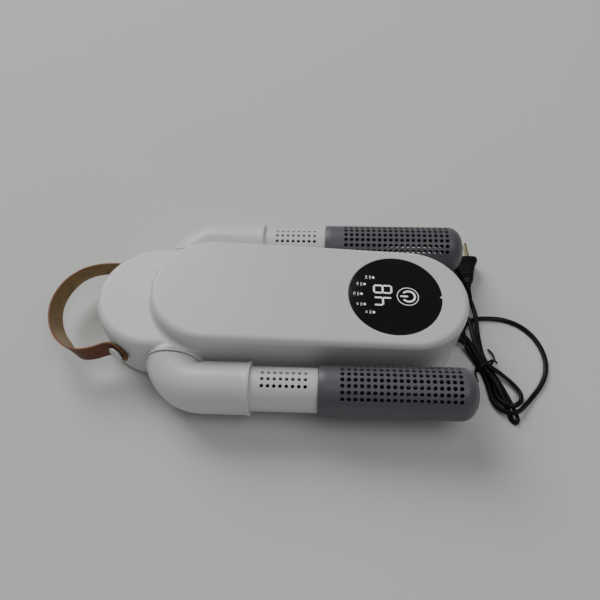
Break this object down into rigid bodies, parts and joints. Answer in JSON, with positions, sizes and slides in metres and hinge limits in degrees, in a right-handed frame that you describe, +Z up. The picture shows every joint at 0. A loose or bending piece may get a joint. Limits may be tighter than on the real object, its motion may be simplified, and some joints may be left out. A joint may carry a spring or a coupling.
{
  "type": "boot dryer",
  "caption": "Flat blower body with a round touch panel, two swinging arms with telescopic perforated nozzles, a leather loop strap and a tied mains cord.",
  "frame": {"origin": "centre of the footprint of the object without its free cord, on the surface under the feet", "axes": "+X along the body from the strap towards the nozzle tips, +Y to the right arm, +Z up out of the touch panel"},
  "size_m": [0.3822, 0.1777, 0.058],
  "materials": {
    "white_plastic": "satin moulded ABS",
    "grey_plastic": "satin moulded",
    "panel_black": "polished",
    "black_plastic": "matt",
    "duct_plastic": "matt moulded",
    "cord_pvc": "soft sheen",
    "rubber": "matt",
    "leather": "smooth outside, suede inside",
    "steel": "plated",
    "aluminium": "satin",
    "brass": "plain",
    "circuit_board": "solder mask",
    "filter_foam": "open foam"
  },
  "bodies": {
    "housing": {"upper_housing": "white_plastic", "bottom_cover": "white_plastic", "left_collar": "white_plastic", "right_collar": "white_plastic", "left_strap_stud": "white_plastic", "right_strap_stud": "white_plastic", "touch_panel": "panel_black", "display_module": "black_plastic", "relay": "black_plastic", "twist_tie": "black_plastic", "control_board": "circuit_board", "power_board": "circuit_board", "capacitor": "aluminium", "ptc_heater": "aluminium", "blower_scroll": "duct_plastic", "blower_lid": "duct_plastic", "heater_duct": "duct_plastic", "air_manifold": "duct_plastic", "fan_motor": "steel", "thermostat": "brass", "plug_blade_1": "brass", "plug_blade_2": "brass", "intake_filter": "filter_foam", "left_hub_seal": "rubber", "right_hub_seal": "rubber", "power_cord": "cord_pvc", "cord_strain_relief": "cord_pvc", "plug_body": "cord_pvc", "cover_screw_1": "steel", "cover_screw_2": "steel", "cover_screw_3": "steel", "cover_screw_4": "steel", "cover_screw_5": "steel", "cover_screw_6": "steel", "foot_1": "rubber", "foot_2": "rubber", "foot_3": "rubber", "foot_4": "rubber"},
    "left_arm": {"left_elbow": "white_plastic", "left_retaining_ring": "steel"},
    "left_telescope": {"left_tube": "white_plastic", "left_tube_ring": "rubber"},
    "left_nozzle_sleeve": {"left_nozzle": "grey_plastic"},
    "right_arm": {"right_elbow": "white_plastic", "right_retaining_ring": "steel"},
    "right_telescope": {"right_tube": "white_plastic", "right_tube_ring": "rubber"},
    "right_nozzle_sleeve": {"right_nozzle": "grey_plastic"},
    "strap": {"carry_strap": "leather"},
    "fan": {"impeller": "white_plastic", "motor_shaft": "steel"}
  },
  "joints": [
    {"name": "left_arm_swing", "type": "hinge", "parent": "housing", "child": "left_arm", "pos_m": [-0.0608, -0.0479, 0.024], "axis": [0, -1, 0], "range_deg": [0, 180]},
    {"name": "left_tube_turn", "type": "hinge", "parent": "left_arm", "child": "left_telescope", "pos_m": [-0.01086, -0.0644, 0.02653], "axis": [0.9987, 0, 0.0506], "range_deg": [-180, 180]},
    {"name": "left_nozzle_slide", "type": "slide", "parent": "left_telescope", "child": "left_nozzle_sleeve", "axis": [-0.9987, 0, -0.0506], "range_m": [0, 0.046]},
    {"name": "right_arm_swing", "type": "hinge", "parent": "housing", "child": "right_arm", "pos_m": [-0.0608, 0.0479, 0.024], "axis": [0, -1, 0], "range_deg": [0, 180]},
    {"name": "right_tube_turn", "type": "hinge", "parent": "right_arm", "child": "right_telescope", "pos_m": [-0.01086, 0.0644, 0.02653], "axis": [0.9987, 0, 0.0506], "range_deg": [-180, 180]},
    {"name": "right_nozzle_slide", "type": "slide", "parent": "right_telescope", "child": "right_nozzle_sleeve", "axis": [-0.9987, 0, -0.0506], "range_m": [0, 0.046]},
    {"name": "strap_swing", "type": "hinge", "parent": "housing", "child": "strap", "pos_m": [-0.10284, 0, 0.0245], "axis": [0, 1, 0], "range_deg": [-14, 8]},
    {"name": "fan_spin", "type": "hinge", "parent": "housing", "child": "fan", "pos_m": [0.028, 0, 0.02], "axis": [0, 0, 1], "continuous": true}
  ]
}
